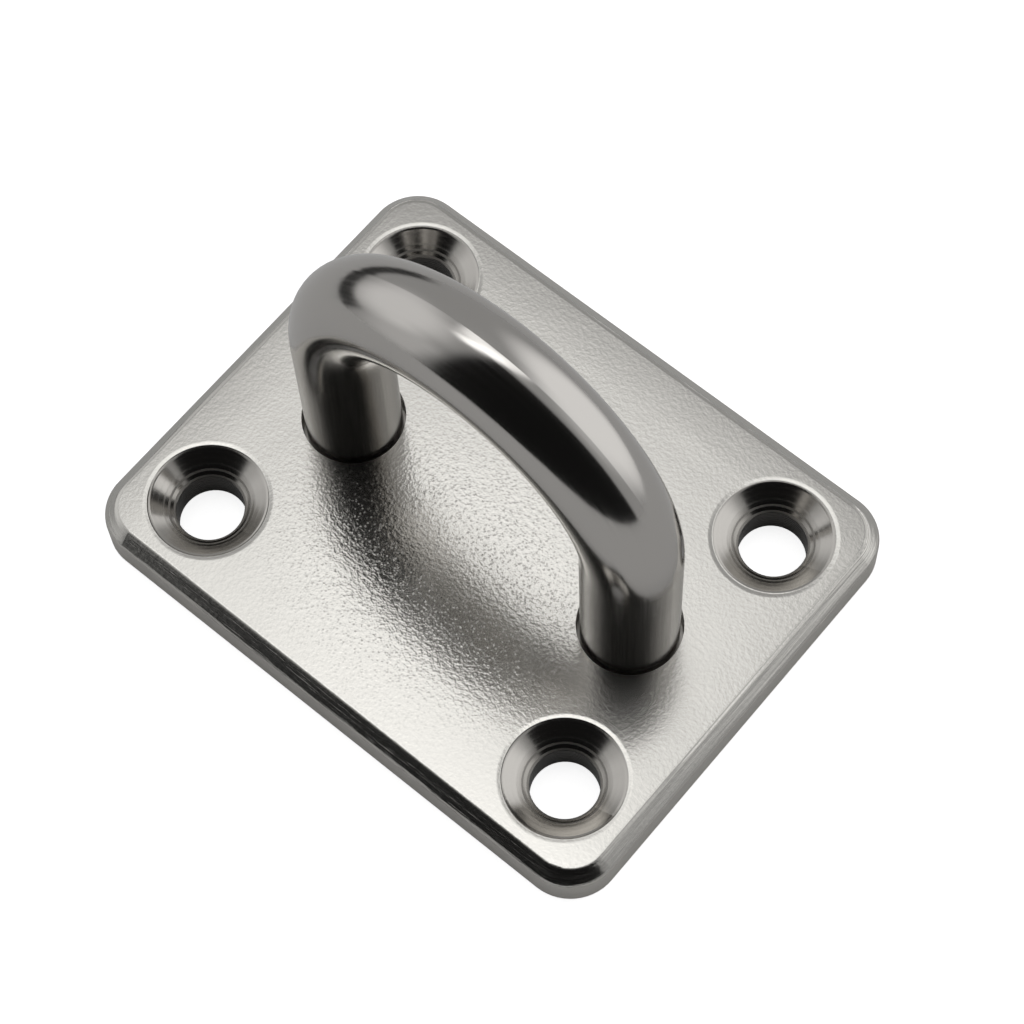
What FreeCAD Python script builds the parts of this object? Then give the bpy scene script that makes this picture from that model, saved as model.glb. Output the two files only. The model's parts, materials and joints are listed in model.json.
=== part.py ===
import FreeCAD, Part

import math
import os

# Welded eye plate: a stamped rectangular base plate with four countersunk screw holes, and a round bar
# bent into a loop whose two legs pass through the plate and are welded and ground flush on the back.
# Millimetres. The origin is the middle of the plate's back face, +Z points out of the plate towards
# the loop, +X runs along the plate's long side and the loop's plane, +Y along its short side.

# Base plate
plate_length = 50.0
plate_width = 39.4
plate_thickness = 4.0
plate_corner_radius = 4.0
top_bevel = 1.0
bevel_edge_rounding = 0.6
back_edge_break = 0.3

# Screw holes, one near each corner
screw_edge_distance = 7.0
screw_bore_radius = 2.7
countersink_radius = 4.65
countersink_angle = 104.0
countersink_lip_rounding = 0.4

# Loop of round bar
bar_radius = 3.85
leg_spacing = 28.0
crown_centre_height = 17.0
leg_end_height = 0.8

# Leg holes in the plate, and the weld grooves behind them
leg_hole_clearance = 0.3
weld_groove_width = 1.2
weld_groove_depth = 1.5

# Worked out from the sizes above
leg_hole_radius = bar_radius + leg_hole_clearance
weld_groove_radius = leg_hole_radius + weld_groove_width
screw_x = plate_length / 2 - screw_edge_distance
screw_y = plate_width / 2 - screw_edge_distance
leg_x = leg_spacing / 2
past_the_face = 1.0


def point(radius, height):
    """A point of a turned profile, which is drawn in the XZ half plane."""
    return FreeCAD.Vector(radius, 0, height)


def polyline(points):
    """Straight edges from each point to the next."""
    return [Part.LineSegment(start, end).toShape() for start, end in zip(points, points[1:])]


def turned(edges):
    """The solid that a closed profile sweeps in one full turn about Z."""
    profile = Part.Face(Part.Wire(edges))
    return profile.revolve(FreeCAD.Vector(0, 0, 0), FreeCAD.Vector(0, 0, 1), 360)


def moved(shape, x, y):
    """A copy of a shape, moved in the plane of the plate."""
    copy = shape.copy()
    copy.translate(FreeCAD.Vector(x, y, 0))
    return copy


def edges_at_height(shape, height):
    """The edges of a shape that lie flat at one height."""
    near = 1e-4
    spans = [(edge, edge.BoundBox) for edge in shape.Edges]
    return [edge for edge, box in spans if abs(box.ZMin - height) < near and abs(box.ZMax - height) < near]


def rounded_rectangle(length, width, radius):
    """The face of the plate's outline, centred on the origin."""
    across, up = length / 2 - radius, width / 2 - radius
    corners = ((across, up, 0), (-across, up, 90), (-across, -up, 180), (across, -up, 270))
    arcs = []
    for x, y, start in corners:
        circle = Part.Circle(FreeCAD.Vector(x, y, 0), FreeCAD.Vector(0, 0, 1), radius)
        arcs.append(Part.ArcOfCircle(circle, math.radians(start), math.radians(start + 90)).toShape())
    outline = []
    for arc, following in zip(arcs, arcs[1:] + arcs[:1]):
        side = Part.LineSegment(arc.lastVertex().Point, following.firstVertex().Point)
        outline += [arc, side.toShape()]
    return Part.Face(Part.Wire(outline))


def screw_hole_cutter():
    """A bore under a countersink whose cone rolls over into the plate's top face.

    The cone would meet the face at countersink_radius. The arc that rounds this lip is a spline,
    because the narrow ring that it sweeps then splits into fewer facets.
    """
    slope = math.radians(90 - countersink_angle / 2)
    cone_depth = (countersink_radius - screw_bore_radius) * math.tan(slope)
    rounding = countersink_lip_rounding
    centre = point(countersink_radius + rounding * math.tan(slope / 2), plate_thickness - rounding)
    on_cone, half_way, on_face = (
        centre + point(-rounding * math.sin(angle), rounding * math.cos(angle))
        for angle in (slope, slope / 2, 0)
    )
    lip = Part.Arc(on_cone, half_way, on_face).toBSpline()
    bottom, top = -past_the_face, plate_thickness + past_the_face
    below = [
        point(0, bottom),
        point(screw_bore_radius, bottom),
        point(screw_bore_radius, plate_thickness - cone_depth),
        on_cone,
    ]
    above = [on_face, point(on_face.x, top), point(0, top), point(0, bottom)]
    return turned(polyline(below) + [lip.toShape()] + polyline(above))


def leg_hole_cutter():
    """A clearance hole for a leg of the loop, with its weld groove on the back."""
    bottom, top = -past_the_face, plate_thickness + past_the_face
    outline = [
        point(0, bottom),
        point(weld_groove_radius, bottom),
        point(weld_groove_radius, 0),
        point(leg_hole_radius, weld_groove_depth),
        point(leg_hole_radius, top),
        point(0, top),
        point(0, bottom),
    ]
    return turned(polyline(outline))


def base_plate():
    """The stamped plate, bevelled round its top edge, with its screw holes and leg holes."""
    outline = rounded_rectangle(plate_length, plate_width, plate_corner_radius)
    blank = outline.extrude(FreeCAD.Vector(0, 0, plate_thickness))
    blank = blank.makeChamfer(back_edge_break, edges_at_height(blank, 0))
    blank = blank.makeChamfer(top_bevel, edges_at_height(blank, plate_thickness))
    bevel_heights = (plate_thickness, plate_thickness - top_bevel)
    bevel_edges = [edge for height in bevel_heights for edge in edges_at_height(blank, height)]
    blank = blank.makeFillet(bevel_edge_rounding, bevel_edges)
    screw_hole = screw_hole_cutter()
    leg_hole = leg_hole_cutter()
    cutters = [moved(screw_hole, x, y) for x in (-screw_x, screw_x) for y in (-screw_y, screw_y)]
    cutters += [moved(leg_hole, x, 0) for x in (-leg_x, leg_x)]
    return blank.cut(cutters)


def loop_bar():
    """One round bar: two straight legs joined by a half-circle crown."""
    up = FreeCAD.Vector(0, 0, 1)
    leg_length = crown_centre_height - leg_end_height
    legs = [
        Part.makeCylinder(bar_radius, leg_length, FreeCAD.Vector(x, 0, leg_end_height), up)
        for x in (-leg_x, leg_x)
    ]
    section_centre = FreeCAD.Vector(leg_x, 0, crown_centre_height)
    section = Part.Face(Part.Wire(Part.Circle(section_centre, up, bar_radius).toShape()))
    crown = section.revolve(FreeCAD.Vector(0, 0, crown_centre_height), FreeCAD.Vector(0, -1, 0), 180)
    return legs[0].fuse([crown, legs[1]]).removeSplitter()


def leg_weld():
    """Weld metal that fills a groove round the end of a leg, ground flush with the plate's back."""
    outline = [
        point(0, 0),
        point(weld_groove_radius, 0),
        point(leg_hole_radius, weld_groove_depth),
        point(bar_radius, weld_groove_depth),
        point(bar_radius, leg_end_height),
        point(0, leg_end_height),
        point(0, 0),
    ]
    return turned(polyline(outline))


def main():
    weld = leg_weld()
    parts = {
        "base_plate": base_plate(),
        "loop_bar": loop_bar(),
        "leg_weld_left": moved(weld, -leg_x, 0),
        "leg_weld_right": moved(weld, leg_x, 0),
    }
    os.makedirs("parts", exist_ok=True)
    for name, shape in parts.items():
        solid = shape.Solids[0]
        solid.exportStep(f"parts/{name}.step")
        box = solid.optimalBoundingBox()
        lengths = [round(length, 3) for length in (box.XLength, box.YLength, box.ZLength)]
        print(name, "volume", round(solid.Volume, 2), "size", lengths)


main()
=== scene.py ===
# %% [markdown]
# # A welded stainless eye plate, dressed for a studio picture
#
# The object is a small piece of yacht and garden hardware: a stamped plate with four countersunk
# holes, and a polished round bar bent into a loop whose feet pass through the plate. Every piece is
# bare stainless steel, so this lesson is about one thing, how finishes and surroundings together make
# metal look like metal.

# %% Load the frame
import json
import math

import bpy
import numpy as np
from mathutils import Matrix, Vector


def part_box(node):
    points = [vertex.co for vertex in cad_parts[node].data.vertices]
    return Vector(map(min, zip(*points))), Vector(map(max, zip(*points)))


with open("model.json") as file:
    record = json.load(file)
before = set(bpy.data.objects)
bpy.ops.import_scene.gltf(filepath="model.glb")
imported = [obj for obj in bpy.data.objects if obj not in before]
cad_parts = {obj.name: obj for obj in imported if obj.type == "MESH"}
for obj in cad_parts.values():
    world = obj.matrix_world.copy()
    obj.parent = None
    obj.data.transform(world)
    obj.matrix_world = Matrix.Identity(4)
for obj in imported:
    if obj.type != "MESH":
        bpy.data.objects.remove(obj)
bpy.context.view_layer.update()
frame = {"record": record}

MM = 0.001

# %% [markdown]
# ## Places of the features
#
# The solids carry the sizes. A finish that follows a feature, such as the turned rings in a
# countersink, needs its place, so the few places that the finishes use are worked out here from the
# frame, in millimetres: the screw pattern from the record, the plate and the bar from their boxes. The
# frame lists no countersink and no bevel, so their sizes are named here.

# %% Places of the features
mounts = {mount["name"]: mount for mount in frame["record"]["mounts"]}
screws = mounts["screw_holes"]["dims"]
HOLE_X = screws["spacing_x_mm"] / 2
HOLE_Y = screws["spacing_y_mm"] / 2
BORE_RADIUS = screws["hole_r_mm"]
PLATE_HALF_LENGTH, PLATE_HALF_WIDTH, PLATE_TOP = (float(v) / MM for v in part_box("base_plate")[1])
bar_low, bar_high = (np.array(corner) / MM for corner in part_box("loop_bar"))
BAR_RADIUS = float(bar_high[1] - bar_low[1]) / 2
LEG_X = float(bar_high[0]) - BAR_RADIUS
CROWN_HEIGHT = float(bar_high[2]) - BAR_RADIUS - LEG_X
print(f"screw holes at {HOLE_X:.2f}, {HOLE_Y:.2f} mm, radius {BORE_RADIUS:.2f}; plate top {PLATE_TOP:.2f}")
print(f"bar radius {BAR_RADIUS:.2f}, legs at {LEG_X:.2f}, crown's centre {CROWN_HEIGHT:.2f} mm high")

# %% Countersinks and bevel
CONE_RADIUS = 4.65
CONE_ANGLE = 104.0
LIP_WIDTH = 0.15
BEVEL_DEPTH = 1.0
COUNTERSINK_RIM = CONE_RADIUS + LIP_WIDTH
CONE_FOOT = PLATE_TOP - (CONE_RADIUS - BORE_RADIUS) / math.tan(math.radians(CONE_ANGLE / 2))
BEVEL_FOOT = PLATE_TOP - BEVEL_DEPTH
print(f"cones end {CONE_FOOT:.2f} mm above the back, the bevel {BEVEL_FOOT:.2f} mm")

# %% [markdown]
# ## The camera
#
# The picture is taken from above one corner, about 24 cm away, with a long lens. The numbers come from
# fitting a camera to the plate's edges, its holes and the loop's outline in the photograph.

# %% Camera
CAMERA_AZIMUTH = 43.35
CAMERA_ELEVATION = 65.68
CAMERA_ROLL = -3.77
CAMERA_DISTANCE = 238.9 * MM
CAMERA_AIM = Vector((-0.24, 2.83, 0.0)) * MM
SENSOR_WIDTH = 36.0
IMAGE_WIDTH = 1024
FOCAL_PIXELS = 3023.0


def place_camera():
    """Stands the camera at its azimuth and elevation round the aim point, rolled about its own axis.

    The back axis is (sin a cos e, -cos a cos e, sin e), the right axis (cos a, sin a, 0), and both
    right and up then turn by the roll.
    """
    azimuth, elevation, roll = (math.radians(v) for v in (CAMERA_AZIMUTH, CAMERA_ELEVATION, CAMERA_ROLL))
    back = Vector((
        math.sin(azimuth) * math.cos(elevation),
        -math.cos(azimuth) * math.cos(elevation),
        math.sin(elevation),
    ))
    right = Vector((math.cos(azimuth), math.sin(azimuth), 0.0))
    up = back.cross(right)
    rolled_right = right * math.cos(roll) + up * math.sin(roll)
    rolled_up = up * math.cos(roll) - right * math.sin(roll)
    data = bpy.data.cameras.new("camera")
    data.sensor_width = SENSOR_WIDTH
    data.lens = SENSOR_WIDTH * FOCAL_PIXELS / IMAGE_WIDTH
    data.clip_start = 0.01
    camera = bpy.data.objects.new("camera", data)
    bpy.context.scene.collection.objects.link(camera)
    turn = Matrix((rolled_right, rolled_up, back)).transposed().to_4x4()
    camera.matrix_world = Matrix.Translation(CAMERA_AIM + back * CAMERA_DISTANCE) @ turn
    bpy.context.scene.camera = camera
    return camera


camera = place_camera()
print("camera at", tuple(round(v, 4) for v in camera.matrix_world.translation), "lens", camera.data.lens)

# %% [markdown]
# ## One helper for nodes
#
# Materials and the studio are node trees. A single function adds a node, sets its properties and fills
# its sockets with numbers or links, so the trees below read from top to bottom like a recipe. Colours
# are picked as they look on a screen, and one more function turns them into light.

# %% Node helper and colours


def add(tree, kind, inputs=(), **settings):
    """Adds a shader node. Inputs fill its sockets, in order or by key; settings are its properties."""
    new = tree.nodes.new("ShaderNode" + kind)
    for name, value in settings.items():
        setattr(new, name, value)
    for key, value in inputs.items() if isinstance(inputs, dict) else enumerate(inputs):
        if isinstance(value, bpy.types.Node):
            value = next(socket for socket in value.outputs if socket.enabled)
        if isinstance(value, bpy.types.NodeSocket):
            tree.links.new(value, new.inputs[key])
        else:
            new.inputs[key].default_value = value
    return new


def linear(hex_colour):
    """An sRGB hex colour as linear RGBA: below 0.04045 v / 12.92, above ((v + 0.055) / 1.055) ^ 2.4."""
    channels = np.array([int(hex_colour[i:i + 2], 16) for i in (1, 3, 5)]) / 255
    low = channels / 12.92
    high = ((channels + 0.055) / 1.055) ** 2.4
    return (*np.where(channels <= 0.04045, low, high).tolist(), 1.0)


print("a screen's middle grey is", round(linear("#808080")[0], 3), "of white's light")

# %% [markdown]
# ## The studio
#
# A polished bar is a mirror, so its picture is a picture of the room. The photograph's bar shows a
# small light tent: pale grey walls with three soft glows, a bright panel almost overhead that is
# brightest in its middle, a short strip light that crosses above the panel, and the open, dark side
# that the camera looks in through. The open side makes the long black stripe on the crown, and the
# strip light makes the glint beside it. A dark sill runs low round the left, and makes the dark hook at
# the bend. It could be built from cards and lamps, but some camera would find each of them in its way.
# So the tent is written as light from each direction of the sky, which is the same from every
# viewpoint. Seen directly, it is a plain pale backdrop.

# %% Directions and round spots of sky
SMOOTH = {"interpolation_type": "SMOOTHSTEP", "clamp": True}


def direction(azimuth, elevation):
    """The unit vector of an angle from +X and a height above the horizon, both in degrees."""
    a, e = math.radians(azimuth), math.radians(elevation)
    return (math.cos(a) * math.cos(e), math.sin(a) * math.cos(e), math.sin(e))


def cap(tree, sky, azimuth, elevation, inner, outer):
    """A round spot of sky: 1 inside the inner angle from its middle, and 0 past the outer one."""
    facing = add(tree, "VectorMath", (sky, direction(azimuth, elevation)), operation="DOT_PRODUCT")
    edges = (math.cos(math.radians(outer)), math.cos(math.radians(inner)))
    return add(tree, "MapRange", (facing, *edges, 0.0, 1.0), **SMOOTH)


print("the panel hangs towards", tuple(round(v, 2) for v in direction(146, 74)))

# %% [markdown]
# ### What shines
#
# Each glow is a round spot: its azimuth and elevation, the angle at which it starts to fade and the
# angle at which it ends, then how much light it adds to the walls. The strip light is the part of such
# a spot that lies within a few degrees of one great circle.

# %% What shines in the tent
WALL = 0.37
GLOWS = (
    ("overhead panel", (146, 74, 9.5, 17), 0.5),
    ("panel's middle", (138, 69, 0, 11), 0.6),
    ("left wall", (190, 32, 12, 38), 0.45),
    ("right wall", (57, 24, 20, 46), 0.68),
    ("far left wall", (235, 12, 8, 30), 0.2),
)
STRIP_SPOT = (128, 77, 15, 26)
STRIP_ACROSS = (-0.498, 0.852, -0.158)
STRIP_EDGES = (0.05, 0.115)
STRIP_LIGHT = 1.2


def tent_lights(tree, sky):
    """The walls, plus each glow's strength times its spot, plus the strip light.

    How far a direction is from the strip's great circle is the size of its dot product with
    STRIP_ACROSS, the circle's axis.
    """
    light = WALL
    for name, spot, strength in GLOWS:
        light = add(tree, "Math", (cap(tree, sky, *spot), strength, light), operation="MULTIPLY_ADD")
        light.label = name
    across = add(tree, "VectorMath", (sky, STRIP_ACROSS), operation="DOT_PRODUCT")
    off_circle = add(tree, "Math", (across,), operation="ABSOLUTE")
    strip = add(tree, "MapRange", (off_circle, *STRIP_EDGES, STRIP_LIGHT, 0.0), **SMOOTH)
    return add(tree, "Math", (cap(tree, sky, *STRIP_SPOT), strip, light), operation="MULTIPLY_ADD")


print(len(GLOWS), "glows and a strip light on walls of", WALL)

# %% [markdown]
# ### What stays dark
#
# The opening is bounded by three planes, and the sill by a spot and a plane. Each plane is given by
# where its soft edge starts and ends, as a distance from the plane of a direction one unit long.

# %% What stays dark in the tent
OPENING = 0.008
OPENING_RIGHTWARDS = (0.927, -0.375, 0.03)
OPENING_LEFT_EDGE = (-0.16, 0.02)
OPENING_BACK_EDGE = (0.06, 0.0)
OPENING_BOTTOM_EDGE = (-0.2, -0.16)
SILL = 0.03
SILL_SPOT = (168, -6, 34, 44)
SILL_TOP_EDGE = (0.07, 0.0)


def darkened(tree, sky, light):
    """The tent's light, with the dark opening and then the dark sill laid over it.

    The opening is where a direction is right of one upright plane, in front of another, and not far
    below the horizon. The sill is the part of its spot that lies at or below the horizon.
    """
    parts = add(tree, "SeparateXYZ", (sky,)).outputs
    rightness = add(tree, "VectorMath", (sky, OPENING_RIGHTWARDS), operation="DOT_PRODUCT")
    right = add(tree, "MapRange", (rightness, *OPENING_LEFT_EDGE, 0.0, 1.0), **SMOOTH)
    front = add(tree, "MapRange", (parts["Y"], *OPENING_BACK_EDGE, 0.0, 1.0), **SMOOTH)
    above = add(tree, "MapRange", (parts["Z"], *OPENING_BOTTOM_EDGE, 0.0, 1.0), **SMOOTH)
    opening = add(tree, "Math", (right, front), operation="MULTIPLY")
    opening = add(tree, "Math", (opening, above), operation="MULTIPLY")
    light = add(tree, "Mix", {0: opening, 2: light, 3: OPENING}, data_type="FLOAT")
    below = add(tree, "MapRange", (parts["Z"], *SILL_TOP_EDGE, 0.0, 1.0), **SMOOTH)
    sill = add(tree, "Math", (cap(tree, sky, *SILL_SPOT), below), operation="MULTIPLY")
    return add(tree, "Mix", {0: sill, 2: light, 3: SILL}, data_type="FLOAT")


print(f"the walls are {WALL / OPENING:.0f} times as bright as the opening")

# %% [markdown]
# ### The tent as a world
#
# The world gives the camera's own rays the backdrop and every other ray the tent. The view transform
# is the plain one, so a white of 1 stays the photograph's white.

# %% The light tent
BACKDROP = 1.0


def light_tent():
    """The world: the backdrop for the camera's rays, the tent for all that are mirrored or lit."""
    world = bpy.data.worlds.new("light_tent")
    world.use_nodes = True
    tree = world.node_tree
    tree.nodes.clear()
    sky = add(tree, "TexCoord").outputs["Generated"]
    light = darkened(tree, sky, tent_lights(tree, sky))
    seen = add(tree, "LightPath").outputs["Is Camera Ray"]
    strength = add(tree, "Mix", {0: seen, 2: light, 3: BACKDROP}, data_type="FLOAT")
    background = add(tree, "Background", {"Color": (1, 1, 1, 1), "Strength": strength})
    add(tree, "OutputWorld", {"Surface": background})
    bpy.context.scene.world = world
    return tree


print("light tent", len(light_tent().nodes), "nodes")
bpy.context.scene.view_settings.view_transform = "Standard"

# %% [markdown]
# ## The floor
#
# A white table top, small enough that its edge shows in the bar as a thin dark line. Towards the
# camera it glows almost as evenly as the backdrop, which keeps the photograph's plain white ground.

# %% Floor
TABLE_RADIUS = 190 * MM
TABLE_CORNERS = 96
TABLE_GAP = 0.1 * MM
TABLE_WHITE = "#e6e6e6"
TABLE_GLOW = 0.04
TABLE_GLOW_SEEN = 0.85


def table_top():
    """A flat disc, a gap below the plate's back, closed by one face.

    Its rim is the radius times (cos a, sin a) at evenly spaced angles.
    """
    angles = np.linspace(0, 2 * np.pi, TABLE_CORNERS, endpoint=False)
    x, y = TABLE_RADIUS * np.cos(angles), TABLE_RADIUS * np.sin(angles)
    rim = np.column_stack((x, y, np.full_like(angles, -TABLE_GAP)))
    mesh = bpy.data.meshes.new("table_top")
    mesh.from_pydata(rim.tolist(), [], [list(range(TABLE_CORNERS))])
    table = bpy.data.objects.new("table_top", mesh)
    bpy.context.scene.collection.objects.link(table)
    mesh.materials.append(white_acrylic())
    return table


def white_acrylic():
    """Diffuse white, plus a glow that is strong only in the camera's own rays."""
    material = bpy.data.materials.new("white_acrylic_table")
    material.use_nodes = True
    tree = material.node_tree
    tree.nodes.clear()
    seen = add(tree, "LightPath").outputs["Is Camera Ray"]
    strength = add(tree, "Mix", {0: seen, 2: TABLE_GLOW, 3: TABLE_GLOW_SEEN}, data_type="FLOAT")
    glowing = add(tree, "Emission", {"Color": (1, 1, 1, 1), "Strength": strength})
    white = add(tree, "BsdfDiffuse", {"Color": linear(TABLE_WHITE)})
    add(tree, "OutputMaterial", {"Surface": add(tree, "AddShader", (glowing, white))})
    return material


print("table", round(table_top().dimensions.x, 3), "m across")

# %% [markdown]
# ## A blank metal
#
# Stainless steel of the common 18/8 grade is a warm pale grey. Every finish below starts from the same
# metal shader, and differs in its colour, its roughness and the shape of its grain. Grain is worked
# out as a height in millimetres, so its slopes, which are what bends a reflection, are real ones. The
# index of refraction keeps its default, because a metal's colour already says how it mirrors.

# %% A blank metal


def start_metal(name):
    """A new material, its empty tree, and a point's place on the piece in millimetres."""
    material = bpy.data.materials.new(name)
    material.use_nodes = True
    tree = material.node_tree
    tree.nodes.clear()
    place = add(tree, "TexCoord").outputs["Object"]
    return material, tree, add(tree, "VectorMath", {0: place, "Scale": 1 / MM}, operation="SCALE")


def end_metal(tree, height_mm, colour, roughness):
    """The metal shader, with the height as bump. Distance turns its millimetres into metres."""
    bump = add(tree, "Bump", {"Height": height_mm, "Distance": MM, "Strength": 1.0})
    finish = {"Metallic": 1.0, "Base Color": colour, "Roughness": roughness, "Normal": bump}
    add(tree, "OutputMaterial", {"Surface": add(tree, "BsdfPrincipled", finish)})


def dress(name, material):
    """Gives a solid of the frame its finish."""
    piece = bpy.data.objects[name]
    for slot in piece.material_slots:
        slot.material = material
    nodes = len(material.node_tree.nodes)
    print(name, "wears", material.name, "of", nodes, "nodes on", len(piece.data.polygons), "faces")


# %% [markdown]
# ## The stamped plate
#
# The plate is blanked out of 4 mm sheet in a press, then its top edge is bevelled, its screw holes are
# countersunk, and the welded part is tumbled with ceramic chips. So one solid carries four surfaces:
# the satin face, the bright bevel, the duller sheared sides and the turned countersinks. It could be
# cut into four meshes with a material each, but one material that tells them apart by where a point
# lies keeps the solid whole. Each zone fades into the next over about a tenth of a millimetre, as a
# worn edge does.

# %% Zones of the plate
SINK_FADE = (COUNTERSINK_RIM, COUNTERSINK_RIM - 0.1)
BEVEL_FADE = (PLATE_TOP - 0.02, PLATE_TOP - 0.12)
SIDE_FADE = (BEVEL_FOOT + 0.05, BEVEL_FOOT - 0.15)
BORE_FADE = (CONE_FOOT + 0.075, CONE_FOOT - 0.075)


def plate_zones(tree, place):
    """How much a point belongs to a countersink, to the bevel or below it, and to the sheared side.

    The four countersinks become one when x and y are folded to |x| - HOLE_X and |y| - HOLE_Y. The
    length of those two, which is the distance from the hole's axis, and the height come out as well.
    """
    folded = add(tree, "VectorMath", (place,), operation="ABSOLUTE")
    from_hole = add(tree, "VectorMath", (folded, (HOLE_X, HOLE_Y, 0)), operation="SUBTRACT")
    flat = add(tree, "VectorMath", (from_hole, (1, 1, 0)), operation="MULTIPLY")
    radius = add(tree, "VectorMath", (flat,), operation="LENGTH")
    height = add(tree, "SeparateXYZ", (place,)).outputs["Z"]
    sink = add(tree, "MapRange", (radius, *SINK_FADE, 0.0, 1.0), **SMOOTH)
    edge = add(tree, "MapRange", (height, *BEVEL_FADE, 0.0, 1.0), **SMOOTH)
    side = add(tree, "MapRange", (height, *SIDE_FADE, 0.0, 1.0), **SMOOTH)
    return sink, edge, side, radius, height


print(f"a countersink's zone ends {COUNTERSINK_RIM:.2f} mm from its axis")

# %% [markdown]
# ### Grain and dents of the face
#
# Chips leave a fine grain with tiny dents. The loop keeps most of them off the plate under it, so the
# steel there keeps its coarser grain and more of its dents, and the loop's reflection in it breaks up
# into sand-like specks. Real grain is about a tenth of a millimetre across, which is too fine to show,
# so it is drawn three times coarser, the size of the specks in the photograph. Where the reflection is
# bright a dent is a dark speck, and where it is dark a dent is a light one, because its rough floor
# gathers light from all round. Modelled dents would be thousands of tiny faces, so they are bump.

# %% Grain and dents
GRAIN_MM = 0.33
GRAIN_HEIGHT_MM = (0.0085, 0.02)
DENT_SPACING_MM = 0.29
DENT_DEPTH_MM = 0.0035
DENTS_IN_THE_OPEN = 0.15
DENT_MIDDLES = (0.48, 0.18)
DENT_PATCHES = (0.36, 0.52)
GUARDED_STRETCH = (0.8, 1.0, 0.0)
GUARDED_SHIFT_MM = (0.0, 6.0, 0.0)
GUARDED_FADE_MM = (15.0, 6.0)


def tumbled_grain(tree, place):
    """The grain's height, how dented a point is, and how far the loop guards it from the chips.

    Guarded rises from 0 to 1 towards a point 6 mm in front of the plate's middle, on ellipses that are
    a quarter wider than deep. Dents are the middles of cells of a Voronoi pattern, kept where the
    grain is high, so that they come in patches.
    """
    noise = {"Vector": place, "Scale": 1 / GRAIN_MM, "Detail": 2.5, "Roughness": 0.6}
    grain = add(tree, "TexNoise", noise)
    under_loop = (place, GUARDED_STRETCH, GUARDED_SHIFT_MM)
    from_middle = add(tree, "VectorMath", under_loop, operation="MULTIPLY_ADD")
    reach = add(tree, "VectorMath", (from_middle,), operation="LENGTH")
    guarded = add(tree, "MapRange", (reach, *GUARDED_FADE_MM, 0.0, 1.0), **SMOOTH)
    depth_mm = add(tree, "MapRange", (guarded, 0.0, 1.0, *GRAIN_HEIGHT_MM))
    grain_mm = add(tree, "Math", (grain, depth_mm), operation="MULTIPLY")
    cells = add(tree, "TexVoronoi", {"Vector": place, "Scale": 1 / DENT_SPACING_MM})
    middles = add(tree, "MapRange", (cells, *DENT_MIDDLES, 0.0, 1.0), **SMOOTH)
    patches = add(tree, "MapRange", (grain, *DENT_PATCHES, 0.0, 1.0), **SMOOTH)
    dents = add(tree, "Math", (middles, patches), operation="MULTIPLY")
    share = add(tree, "MapRange", (guarded, 0.0, 1.0, DENTS_IN_THE_OPEN, 1.0))
    return grain_mm, add(tree, "Math", (dents, share), operation="MULTIPLY"), guarded


print("grain", GRAIN_MM, "mm across, steepest under the loop, dents", DENT_SPACING_MM, "mm apart")

# %% [markdown]
# ### The face isn't flat
#
# A press leaves the face slightly wavy, and rising by a tenth of a millimetre towards the front. The
# chips round it off towards its edges and down into each countersink. None of this shows as shape, but
# it moves the loop's reflection, shades the plate's borders and lights a rim round each hole.

# %% Slow shapes of the face
WAVE_MM = 3.2
WAVE_HEIGHT_MM = 0.01
LIP_REACH_MM = (COUNTERSINK_RIM + 0.35, COUNTERSINK_RIM - 0.1)
LIP_ROLL_MM = 0.03
RISE_LENGTH_MM = 16.0
RISE_MM = 0.1
BORDER_MM = 5.0
BORDER_ROLL_PER_MM = 0.003
ABOVE_ALL = 100.0


def face_form(tree, place, radius):
    """The face's height in millimetres, without its grain: waves, lips, rise and borders.

    The borders fall by BORDER_ROLL_PER_MM times the square of the distance past a rectangle that lies
    BORDER_MM inside the plate's outline. Past it in x and y is max(|x| - a, 0) and max(|y| - b, 0), and
    the rectangle's third size is above every height, so that z counts for nothing.
    """
    waves = add(tree, "TexNoise", {"Vector": place, "Scale": 1 / WAVE_MM, "Detail": 1.0})
    rolled = add(tree, "MapRange", (radius, *LIP_REACH_MM, 0.0, -LIP_ROLL_MM), **SMOOTH)
    form = add(tree, "Math", (waves, WAVE_HEIGHT_MM, rolled), operation="MULTIPLY_ADD")
    y = add(tree, "SeparateXYZ", (place,)).outputs["Y"]
    rise = add(tree, "MapRange", (y, 0.0, -RISE_LENGTH_MM, 0.0, RISE_MM), **SMOOTH)
    form = add(tree, "Math", (form, rise), operation="ADD")
    folded = add(tree, "VectorMath", (place,), operation="ABSOLUTE")
    inside = (PLATE_HALF_LENGTH - BORDER_MM, PLATE_HALF_WIDTH - BORDER_MM, ABOVE_ALL)
    past = add(tree, "VectorMath", (folded, inside), operation="SUBTRACT")
    past = add(tree, "VectorMath", (past, (0, 0, 0)), operation="MAXIMUM")
    squared = add(tree, "VectorMath", (past, past), operation="DOT_PRODUCT")
    return add(tree, "Math", (squared, -BORDER_ROLL_PER_MM, form), operation="MULTIPLY_ADD")


print(f"borders fall {BORDER_ROLL_PER_MM * BORDER_MM ** 2:.3f} mm, lips {LIP_ROLL_MM} mm")

# %% [markdown]
# ### Rings of the countersinks
#
# A countersink is cut by a turning tool, which leaves rings. It enters cleanly and chatters once it is
# deep, so the rings are faint near the rim and torn and dull near the bore, which the tumbling chips
# don't reach at all. The real pitch is about a tenth of a millimetre, so it is drawn three times wider
# to show.

# %% Rings
RING_PITCH_MM = 0.31
RING_HEIGHT_MM = 0.002
CHATTER_DEPTH_MM = (0.7, 1.2)
CLEAN_RINGS = 0.15


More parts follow.
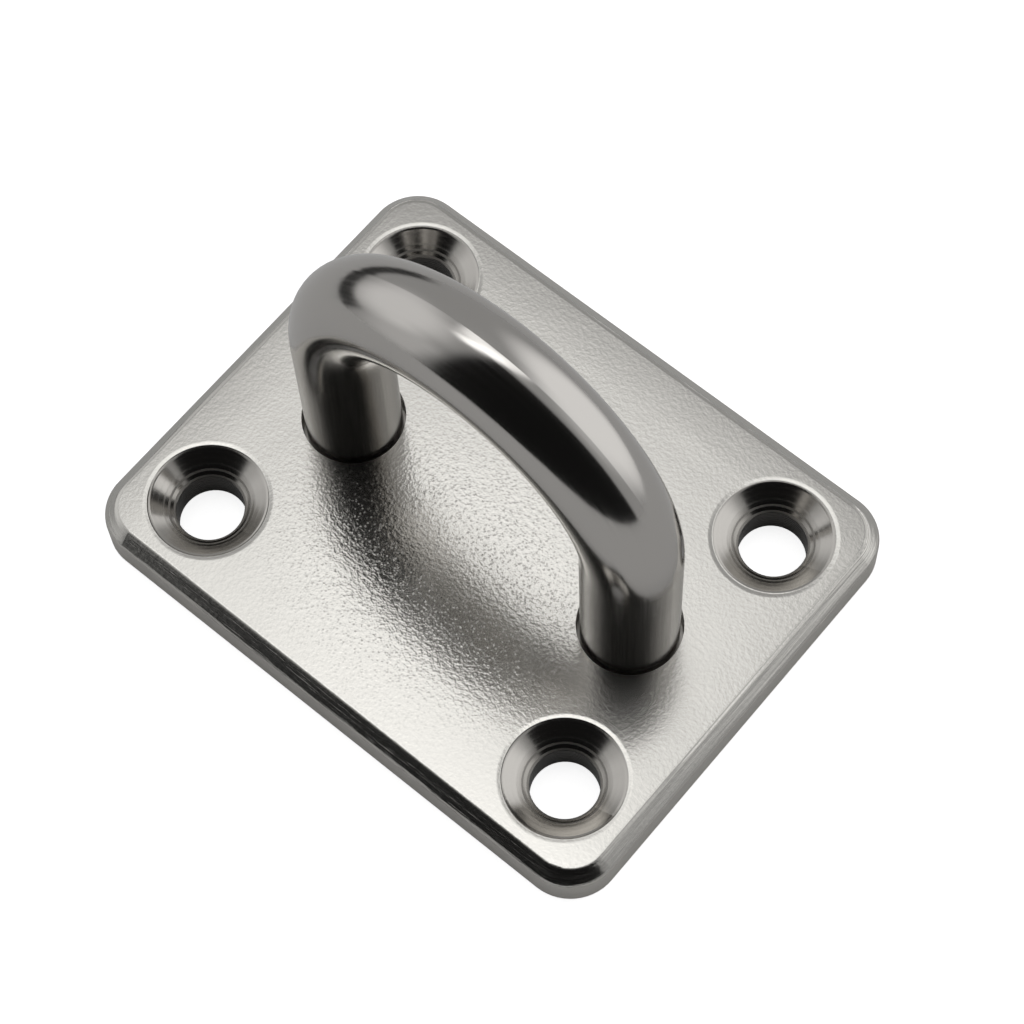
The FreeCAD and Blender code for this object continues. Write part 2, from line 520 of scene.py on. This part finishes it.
def turned_rings(tree, height):
    """How torn a point of the countersink is, how deep it lies, and whether it is in the bore.

    Torn is the sine of the height over the pitch, times how deep the point lies.
    """
    turns = add(tree, "Math", (height, 2 * math.pi / RING_PITCH_MM), operation="MULTIPLY")
    rings = add(tree, "Math", (turns,), operation="SINE")
    fade = (PLATE_TOP - depth for depth in CHATTER_DEPTH_MM)
    deep = add(tree, "MapRange", (height, *fade, CLEAN_RINGS, 1.0), **SMOOTH)
    torn = add(tree, "Math", (deep, rings), operation="MULTIPLY")
    bored = add(tree, "MapRange", (height, *BORE_FADE, 0.0, 1.0), **SMOOTH)
    return torn, deep, bored


print(f"{(PLATE_TOP - CONE_FOOT) / RING_PITCH_MM:.0f} rings down each cone")

# %% [markdown]
# ### Lines of the bevel and the sides
#
# The press and the bevelling cutter leave lines along the edge. They are noise that is stretched along
# the edge and squeezed in height. Real ones are under a tenth of a millimetre wide, so these are drawn
# a few times wider to show.

# %% Lines along the edges
LINE_LENGTH_MM = 8.33
LINE_MM = 0.25
BEVEL_LINE_DEPTH_MM = 0.05
SIDE_LINE_DEPTH_MM = 0.12


def edge_lines(tree, place):
    """Noise of places divided by the lines' length in x and y, and by their width in height."""
    scale = (1 / LINE_LENGTH_MM, 1 / LINE_LENGTH_MM, 1 / LINE_MM)
    level = add(tree, "Mapping", {"Vector": place, "Scale": scale})
    return add(tree, "TexNoise", {"Vector": level, "Scale": 1.0, "Detail": 3.0, "Roughness": 0.6})


print("lines", LINE_MM, "mm wide and about", LINE_LENGTH_MM, "mm long")

# %% [markdown]
# ### The plate's finish
#
# Height, roughness and colour are each mixed zone by zone, from the face outwards, and the countersinks
# come last because they cut through the rest. Tumbled steel has a roughness of about 0.2, and 0.14
# where the chips didn't dull it, so the face has a soft sheen in which only large, dark things are
# mirrored. Sheared and torn steel are far rougher. Each countersink's colour is painted darker towards
# its foot and darker still in the bores, as painted shade in the holes.

# %% The plate's finish
FACE_ROUGHNESS = (0.21, 0.14)
DENT_ROUGHNESS = 0.28
BEVEL_ROUGHNESS = 0.18
SIDE_ROUGHNESS = 0.45
CUT_ROUGHNESS = (0.17, 0.5)
TORN_FROM_TO = (0.0, 0.8)
DENT_TONE_SHARE = 0.14
FACE_STEEL, DENT_TONE, SIDE_STEEL = "#cfcdc8", "#77746f", "#d2cfca"
# The last two colours are painted shade: darker deep in each cone, and darkest in the bores.
CUT_STEEL, DEEP_CONE_SHADE, BORE_SHADE = "#c6c3be", "#a3a09b", "#575552"


def stamped_plate():
    """The finish of the whole plate, mixed from the finishes of its zones."""
    material, tree, place = start_metal("tumbled_stainless_plate")
    sink, edge, side, radius, height = plate_zones(tree, place)
    grain_mm, dents, guarded = tumbled_grain(tree, place)
    torn, deep, bored = turned_rings(tree, height)
    lines = edge_lines(tree, place)

    top_mm = add(tree, "Math", (face_form(tree, place, radius), grain_mm), operation="ADD")
    top_mm = add(tree, "Math", (dents, -DENT_DEPTH_MM, top_mm), operation="MULTIPLY_ADD")
    bevel_mm = add(tree, "Math", (lines, BEVEL_LINE_DEPTH_MM, grain_mm), operation="MULTIPLY_ADD")
    side_mm = add(tree, "Math", (lines, SIDE_LINE_DEPTH_MM), operation="MULTIPLY")
    ring_mm = add(tree, "Math", (torn, RING_HEIGHT_MM), operation="MULTIPLY")
    for zone, zone_mm in ((edge, bevel_mm), (side, side_mm), (sink, ring_mm)):
        top_mm = add(tree, "Mix", {0: zone, 2: top_mm, 3: zone_mm}, data_type="FLOAT")

    rough = add(tree, "MapRange", (guarded, 0.0, 1.0, *FACE_ROUGHNESS))
    cut = add(tree, "MapRange", (torn, *TORN_FROM_TO, *CUT_ROUGHNESS), **SMOOTH)
    zones = ((dents, DENT_ROUGHNESS), (edge, BEVEL_ROUGHNESS), (side, SIDE_ROUGHNESS), (sink, cut))
    for zone, zone_rough in zones:
        rough = add(tree, "Mix", {0: zone, 2: rough, 3: zone_rough}, data_type="FLOAT")

    # The countersink's colour is painted darker with depth, and darker still in the bore: painted shade.
    sink_colour_and_shade = add(tree, "Mix", {0: deep, 6: linear(CUT_STEEL), 7: linear(DEEP_CONE_SHADE)}, data_type="RGBA")
    sink_colour_and_shade = add(tree, "Mix", {0: bored, 6: sink_colour_and_shade, 7: linear(BORE_SHADE)}, data_type="RGBA")
    # The dents' colour is mixed a little towards a darker grey.
    dent_tone = add(tree, "Math", (dents, DENT_TONE_SHARE), operation="MULTIPLY")
    colour = linear(FACE_STEEL)
    for zone, zone_colour in ((dent_tone, linear(DENT_TONE)), (side, linear(SIDE_STEEL)), (sink, sink_colour_and_shade)):
        colour = add(tree, "Mix", {0: zone, 6: colour, 7: zone_colour}, data_type="RGBA")
    end_metal(tree, top_mm, colour, rough)
    return material


dress("base_plate", stamped_plate())

# %% [markdown]
# ## The polished loop
#
# The loop is drawn bar, bent cold and then buffed along its length until it mirrors the tent. Buffing
# never leaves a perfect mirror: the wheel leaves faint streaks along the bar, and bending leaves it a
# little wavy. Streaks could be laid along the bar by unwrapping its mesh, but it comes as loose
# triangles. So the bend is taken out of a point's place first: its distance from the middle of the
# crown replaces its side-to-side place, and its angle times the bend's radius replaces its height.

# %% The bar, straightened


def straightened(tree, place):
    """A point's place on the bar as if the bar were straight: across it, across it, along it.

    Above the crown's centre the first is sqrt(x^2 + h^2) - LEG_X, where h is the height over that
    centre, and below it |x| - LEG_X. The last is the angle atan2(h, x) times LEG_X, plus how far down
    the leg the point lies, counted away from the crown on both legs.
    """
    x, y, z = add(tree, "SeparateXYZ", (place,)).outputs
    over = add(tree, "Math", (z, CROWN_HEIGHT), operation="SUBTRACT")
    up = add(tree, "Math", (over, 0.0), operation="MAXIMUM")
    down = add(tree, "Math", (over, 0.0), operation="MINIMUM")
    spoke = add(tree, "CombineXYZ", (x, up, 0.0))
    reach = add(tree, "VectorMath", (spoke,), operation="LENGTH")
    across = add(tree, "Math", (reach, LEG_X), operation="SUBTRACT")
    angle = add(tree, "Math", (up, x), operation="ARCTAN2")
    side = add(tree, "Math", (x,), operation="SIGN")
    leg = add(tree, "Math", (down, side), operation="MULTIPLY")
    along = add(tree, "Math", (angle, LEG_X, leg), operation="MULTIPLY_ADD")
    return add(tree, "CombineXYZ", (across, y, along))


print(f"the crown is {math.pi * LEG_X:.1f} mm long along the bar's middle")
print(f"each leg stands {CROWN_HEIGHT - PLATE_TOP:.1f} mm out of the plate")

# %% [markdown]
# ### The bar's finish
#
# Buffing gives the eye sharp reflections with a thin veil round the bright ones. A wheel's streaks are
# hundredths of a millimetre wide, so they are drawn about ten times wider to show. The wheel hardly
# gets down between the loop and the plate, so the legs stay hazier than the crown. Their colour is also
# painted darker down the legs, as painted shade between the loop and the plate.

# %% The bar's finish
STREAK_MM = 0.16
STREAK_LENGTH_MM = 9.0
STREAK_HEIGHT_MM = 0.0012
BEND_WAVE_MM = 4.5
BEND_WAVE_HEIGHT_MM = 0.03
STREAKS_FROM_TO = (0.3, 0.7)
STREAK_HAZE = (0.11, 0.17)
LEG_HAZE = 0.07
HAZE_AND_SHADE_REACH_MM = (CROWN_HEIGHT + 4, CROWN_HEIGHT - 2)
# The second colour is painted shade for the lower legs.
BUFFED_STEEL, SHADED_LEG_STEEL = "#c8c5c1", "#aba8a4"


def polished_bar():
    """Streaks along the straightened bar, slow waves, a haze that grows down the legs, and painted shade.
    """
    material, tree, place = start_metal("buffed_stainless_bar")
    straight = straightened(tree, place)
    scale = (1 / STREAK_MM, 1 / STREAK_MM, 1 / STREAK_LENGTH_MM)
    stretched = add(tree, "Mapping", {"Vector": straight, "Scale": scale})
    streaks = add(tree, "TexNoise", {"Vector": stretched, "Scale": 1.0, "Detail": 2.0, "Roughness": 0.6})
    waves = add(tree, "TexNoise", {"Vector": straight, "Scale": 1 / BEND_WAVE_MM, "Detail": 1.0})
    streak_mm = add(tree, "Math", (streaks, STREAK_HEIGHT_MM), operation="MULTIPLY")
    height_mm = add(tree, "Math", (waves, BEND_WAVE_HEIGHT_MM, streak_mm), operation="MULTIPLY_ADD")
    up = add(tree, "SeparateXYZ", (place,)).outputs["Z"]
    hazy_and_shaded = add(tree, "MapRange", (up, *HAZE_AND_SHADE_REACH_MM, 0.0, 1.0), **SMOOTH)
    haze = add(tree, "MapRange", (streaks, *STREAKS_FROM_TO, *STREAK_HAZE))
    haze = add(tree, "Math", (hazy_and_shaded, LEG_HAZE, haze), operation="MULTIPLY_ADD")
    # Down the legs the colour turns darker: painted shade between the loop and the plate.
    colours = {0: hazy_and_shaded, 6: linear(BUFFED_STEEL), 7: linear(SHADED_LEG_STEEL)}
    end_metal(tree, height_mm, add(tree, "Mix", colours, data_type="RGBA"), haze)
    return material


dress("loop_bar", polished_bar())

# %% [markdown]
# ## The welds
#
# Each leg is welded into a groove at the back, and the weld is then ground flush on a belt. The belt
# leaves straight scratches along its travel, which is the plate's long side, and they give a dull
# surface whose sheen spreads across them. Anisotropic shading could give that sheen alone, but drawn
# scratches can also be seen one by one. Real ones are a few hundredths of a millimetre wide, so they
# are drawn about three times wider to show.

# %% The welds
SCRATCH_MM = 0.12
SCRATCH_LENGTH_MM = 5.0
SCRATCH_HEIGHT_MM = 0.006
WELD_ROUGHNESS = 0.34
WELD_STEEL = "#c2bfba"


def ground_weld():
    """The welds' finish: straight scratches, drawn as noise stretched along X."""
    material, tree, place = start_metal("belt_ground_weld")
    scale = (1 / SCRATCH_LENGTH_MM, 1 / SCRATCH_MM, 1 / SCRATCH_MM)
    stretched = add(tree, "Mapping", {"Vector": place, "Scale": scale})
    scratches = add(tree, "TexNoise", {"Vector": stretched, "Scale": 1.0, "Detail": 3.0, "Roughness": 0.7})
    height_mm = add(tree, "Math", (scratches, SCRATCH_HEIGHT_MM), operation="MULTIPLY")
    end_metal(tree, height_mm, linear(WELD_STEEL), WELD_ROUGHNESS)
    return material


weld_finish = ground_weld()
dress("leg_weld_left", weld_finish)
dress("leg_weld_right", weld_finish)
